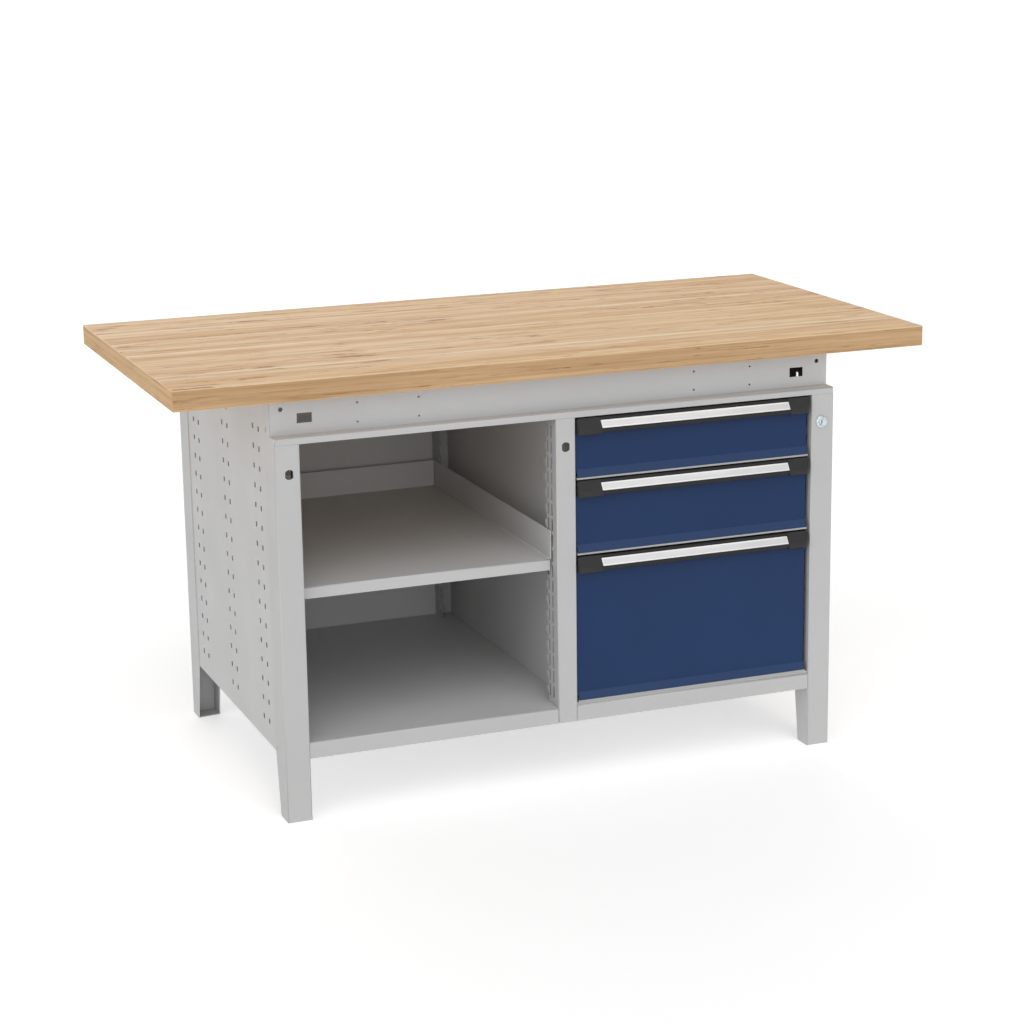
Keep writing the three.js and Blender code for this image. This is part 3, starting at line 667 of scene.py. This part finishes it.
for name, sx in (("left", -1), ("right", 1)):
    x0, rear = 20.3, 353.9
    path = Path([(-357.5, BASE_Z), (-357.5, FLOOR_Z), (rear, FLOOR_Z), (rear, BASE_Z)], BEND)
    far = path.s[-1]
    a, b = 31.3 + 357.5 - 291.7, 31.3 + 357.5 + 291.7
    outline = [(0, x0), (0, 523.7), (a, 523.7), (a, 568.4), (b, 568.4), (b, 523.7), (far, 523.7)]
    outline += [(far, -16.4), (33.8, -16.4), (33.8, x0)] if sx < 0 else [(far, x0)]

    def sill(bm):
        f = bm.faces.new([bm.verts.new((x * MM, -0.353, z * MM)) for x, z in ((20.3, 152.5), (523.7, 152.5), (523.7, 158.3), (20.3, 158.3))])
        f.normal_update()
        if f.normal.y > 0:
            f.normal_flip()

    # the front face takes the darker frame copy of the grey: painted shade
    sheet("floor_pan_" + name, lambda s, v: (sx * v, *path.at(s)), outline, [], path.stops, lambda c: path.bent(c.x), (0, 0, 1), extra=sill if sx > 0 else None,
          more=[FRAME_GREY_PAINTED_SHADE, RIM["grey_paint"]], spot=lambda c: 2 if c.x < 31 else 0)

# drawer fronts: folded sides, lower edge kicked out
for i, (top, low) in DRAWERS.items():
    r = 1.6
    path = Path([(22.5, -339), (22.5, -350), (517.5, -350), (517.5, -339)], r)
    up = top - 0.5
    outline = [(0, low + 16), (0, up), (517, up), (517, low + 16), (506 - r, low + 16), (506 - r, low + 0.7), (11 + r, low + 0.7), (11 + r, low + 16)]

    def lay(s, v):
        x, y = path.at(s)
        return x, y - max(0.0, low + 15 - v) * 8 / 15, v

    # the kicked-out lower lip takes the lighter copy of the blue: painted light from above
    sheet(f"drawer_{i}_front", lay, outline, [], path.stops, lambda c: path.bent(c.x), (0, -1, 0), cuts=[((-5, low + 15), (525, low + 15))],
          more=[BLUE_LIP_PAINTED_LIGHT, RIM["blue_paint"]], spot=lambda c: 2 if c.y < low + 15 else 0)

# drawer boxes: floor and four walls folded up, with a strip along the front of the floor
for i, (top, low) in DRAWERS.items():
    zf, h = round(low - 0.4, 3), round(top - 31.6 - low, 3)
    xa, xb, ya, yb = 37.5, 506.5, -346.0, 288.5
    across = Path([(xa, zf + h), (xa, zf), (xb, zf), (xb, zf + h)], 0.9)
    along = Path([(ya, zf + h), (ya, zf), (yb, zf), (yb, zf + h)], 0.9)
    g0, g1 = round(ya + 0.9, 3), round(yb - 0.9, 3)
    w0, w1, far = h + 1.1, h + 469 - 1.1, 2 * h + 469
    outline = [(0, g0), (0, g1), (w0, g1), (w0, yb + h), (w1, yb + h), (w1, g1), (far, g1), (far, g0), (w1, g0), (w1, ya - h), (w0, ya - h), (w0, g0)]

    def box_lay(s, v):
        if w0 - 0.01 <= s <= w1 + 0.01 and not g0 <= v <= g1:
            return xa + (s - h), *along.at(v - ya + h)
        x, z = across.at(s)
        return x, v, z

    def strip(bm):
        c = [[bm.verts.new((x * MM, y * MM, z * MM)) for x in (23, 517)] for y, z in ((-347.6, zf), (-357, zf), (-357, zf - 3.5))]
        for a, b in zip(c, c[1:]):
            f = bm.faces.new((a[0], b[0], b[1], a[1]))
            f.material_index = 2
            f.normal_update()
            if f.normal.dot(Vector((0, -1, 1))) < 0:
                f.normal_flip()

    # the strip under the drawer front and its cut edges take the darker copy of the grey: painted shade
    sheet(f"drawer_{i}_box", box_lay, outline, [], across.stops, lambda c: across.bent(c.x) or along.bent(c.y - ya + h), (0, 0, 1),
          cuts=[((-5, round(s + ya - h, 4)), (far + 5, round(s + ya - h, 4))) for s in along.stops], extra=strip, more=[BOX_STRIP_PAINTED_SHADE, BOX_STRIP_PAINTED_SHADE])

# shelf: floor, three walls and a lip turned down in front, with relief cuts at the corners
across = Path([(-521, 504), (-521, 448), (-23, 448), (-23, 504)], 0.7)
along = Path([(-331.5, 426), (-331.5, 448), (334, 448), (334, 504)], [BEND, 0.7])
f0, f1 = -331.5 + BEND, 334 - 0.7
w0, w1 = 56 + 0.9, 554 - 0.9
outline = [(0, -331), (0, f1), (w0, f1), (w0, 390), (w1, 390), (w1, f1), (610, f1), (610, -331), (555.1, -331), (555.1, f0), (w1, f0),
           (w1, -353.5), (w0, -353.5), (w0, f0), (54.9, f0), (54.9, -331)]


def shelf_lay(s, v):
    if w0 - 0.01 <= s <= w1 + 0.01 and not f0 <= v <= f1:
        y, z = along.at(v + 353.5)
        return -521 + (s - 56), y, z
    x, z = across.at(s)
    return x, v, z


def shelf_bent(c):
    return across.bent(c.x) or (w0 < c.x < w1 and along.bent(c.y + 353.5))


# the lip in front takes the darker panel copy of the grey, and the back wall's cut edges are painted dark grey: painted
# shade, the latter for the gap behind the wall
sheet("shelf", shelf_lay, outline, [ring(13, -326, 2.5, 16), ring(597, -326, 2.5, 16)], across.stops, shelf_bent, (0, 0, 1),
      cuts=[((-5, s - 353.5), (620, s - 353.5)) for s in along.stops],
      more=[PANEL_GREY_PAINTED_SHADE, RIM["grey_paint"], look("shelf"), PAINTED_SHADE_EDGE], spot=lambda c: 2 if c.y < -331.5 else 4 if c.y > 342 else 0)

# ------------------------------------------------------------------ pulls: extruded sections with end caps
PULL = [((0.3, 0), 0.3), ((8.4, 0), 1.5), ((8.4, -5.6), 0.3), ((8.0, -6.3), 0.2), ((17.6, -20.2), 0.2), ((18.9, -20.4), 0.6),
        ((18.9, -26.5), 1.6), ((16.6, -29), 0.9), ((14.2, -29), 0.5), ((14.2, -27.2), 0.4), ((16.6, -25.6), 0.8), ((16.6, -22.3), 0.8),
        ((6.4, -7.6), 0.8), ((6.4, -2), 0.8), ((2.3, -2), 0.8), ((2.3, -31), 0.5), ((0.3, -31), 0.3)]
CAP = [((0.3, 0.3), 0.3), ((9.2, 0.3), 1.4), ((9.4, -5.2), 1.0), ((19.4, -19.6), 1.2), ((19.7, -26.5), 1.0), ((18.6, -29.6), 1.2),
       ((16.2, -31.6), 0.8), ((0.3, -31.6), 0.3)]
for i in (1, 2, 3):
    d = f"drawer_{i}_"
    plo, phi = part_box(d + "pull")
    y0, z0 = phi[1] + 0.0003, phi[2]
    at = lambda p: (y0 - p[0] * MM, z0 + p[1] * MM)
    sec = fillet([p for p, r in PULL], [r for p, r in PULL])
    piece(d + "pull_profile", drawn(sec, plo[0], phi[0], at), MAT["black_aluminium"], [d + "pull"])
    for side in ("left", "right"):
        clo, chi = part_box(d + "cap_" + side)
        sec = fillet([p for p, r in CAP], [r for p, r in CAP])
        bm = drawn(sec, clo[0], chi[0], at)
        out = clo[0] if side == "left" else chi[0]
        s = -1 if side == "left" else 1
        r, r1, r2 = 0.012, 0.0050, 0.0040
        turns = []
        for q in range(1, 12):
            t = q / 12 * math.pi / 2
            turns.append((Vector((out - s * r, clo[1] + r, 0)), r, Vector((s * math.sin(t), -math.cos(t), 0))))
        for q in range(1, 8):
            t = q / 8 * math.pi / 2
            turns.append((Vector((out - s * r1, 0, z0 + 0.0003 - r1)), r1, Vector((s * math.sin(t), 0, math.cos(t)))))
            turns.append((Vector((out - s * r2, 0, z0 - 0.0316 + r2)), r2, Vector((s * math.sin(t), 0, -math.cos(t)))))
        for c, r, nrm in turns:
            cut = bmesh.ops.bisect_plane(bm, geom=bm.verts[:] + bm.edges[:] + bm.faces[:], dist=1e-7,
                                         plane_co=c + nrm * r, plane_no=nrm, clear_outer=True)
            rim = [e for e in cut["geom_cut"] if isinstance(e, bmesh.types.BMEdge)]
            if rim:
                for f in bmesh.ops.edgeloop_fill(bm, edges=rim)["faces"]:
                    f.smooth = True
        bmesh.ops.recalc_face_normals(bm, faces=bm.faces[:])
        for e in bm.edges:
            if len(e.link_faces) == 2:
                e.smooth = e.calc_face_angle(0) < math.radians(28)
        ob = piece(d + "cap_" + side + "_moulding", bm, MAT["black_plastic"], [d + "cap_" + side])
        soften(ob, 0.0007, 2, 28)

# ------------------------------------------------------------------ lock
hlo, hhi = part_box("lock_housing")
cx, cz = (hlo[0] + hhi[0]) / 2, (hlo[2] + hhi[2]) / 2
yf = hlo[1]
prof = [(6.3, 0.15), (6.6, 0.0), (7.2, 0.0), (7.5, 0.35), (8.1, 0.35), (8.4, 0.0), (10.6, 0.0), (11.3, 0.25), (11.8, 0.75), (12.0, 1.4),
        (12.0, 3.1), (8.7, 3.1), (8.7, 30.4), (6.3, 30.4)]
bm = lathe([(r * MM, yf + y * MM) for r, y in prof], 72, cx, cz)
# shallow notches round the rim
for v in bm.verts:
    t = math.degrees(math.atan2(v.co.z - cz, v.co.x - cx)) % 360
    rad = math.hypot(v.co.x - cx, v.co.z - cz)
    if rad > 0.0104 and v.co.y < yf + 0.0016:
        for a in (60, 150, 195, 300):
            if abs((t - a + 180) % 360 - 180) < 6:
                k = (0.0096 + (rad - 0.0106) * 0.35) / rad
                v.co.x, v.co.z = cx + (v.co.x - cx) * k, cz + (v.co.z - cz) * k
                v.co.y = max(v.co.y, yf + 0.0009 + (rad - 0.0106) * 0.15)
piece("lock_escutcheon", bm, MAT["lock_chrome"], ["lock_housing"])

# ------------------------------------------------------------------ CAD nodes that stay: looks and broken edges
for n, ob in NODES.items():
    if ob.hide_render:
        continue
    ob.data.materials.clear()
    ob.data.materials.append(look(n))
    if not n.endswith("side_panel"):
        soften(ob, 0.0002 if "panel" in n or "label" in n else 0.0003, 1 if "panel" in n else 2, 40)

# ------------------------------------------------------------------ floor and light
bm = bmesh.new()
bmesh.ops.create_grid(bm, x_segments=2, y_segments=2, size=150)
me = bpy.data.meshes.new("floor")
bm.to_mesh(me)
bm.free()
floor = bpy.data.objects.new("floor", me)
bpy.context.scene.collection.objects.link(floor)
me.materials.append(floor_look("floor_look"))

world = bpy.data.worlds.new("studio")
bpy.context.scene.world = world
world.use_nodes = True
w = world.node_tree
w.nodes.clear()
wo = w.nodes.new("ShaderNodeOutputWorld")
bg = w.nodes.new("ShaderNodeBackground")
tc = w.nodes.new("ShaderNodeTexCoord")
# wide soft lights round the object: where each stands, how narrow and how strong it is
LIGHTS = (((-0.10, -0.973, 0.208), 24, 2.60), ((0, -0.788, 0.616), 16, 1.40), ((-0.579, -0.644, 0.500), 16, 1.50), ((0, -0.469, 0.883), 12, 2.19),
          ((-0.923, -0.230, 0.309), 14, 1.98), ((0.980, 0, 0.200), 6, 0.40), ((0, 0.954, 0.300), 4, 1.68), ((0, 0, 1), 4, 0.05))
total = None
for way, narrow, power in LIGHTS:
    dot = w.nodes.new("ShaderNodeVectorMath")
    dot.operation = "DOT_PRODUCT"
    w.links.new(tc.outputs["Generated"], dot.inputs[0])
    dot.inputs[1].default_value = Vector(way).normalized()
    last = dot.outputs["Value"]
    for op, value in (("MAXIMUM", 0.0), ("POWER", narrow), ("MULTIPLY", power)):
        n = w.nodes.new("ShaderNodeMath")
        n.operation = op
        w.links.new(last, n.inputs[0])
        n.inputs[1].default_value = value
        last = n.outputs[0]
    if total is not None:
        n = w.nodes.new("ShaderNodeMath")
        n.operation = "ADD"
        w.links.new(total, n.inputs[0])
        w.links.new(last, n.inputs[1])
        last = n.outputs[0]
    total = last
bg.inputs["Color"].default_value = (1, 1, 1, 1)
w.links.new(total, bg.inputs["Strength"])
w.links.new(bg.outputs[0], wo.inputs["Surface"])
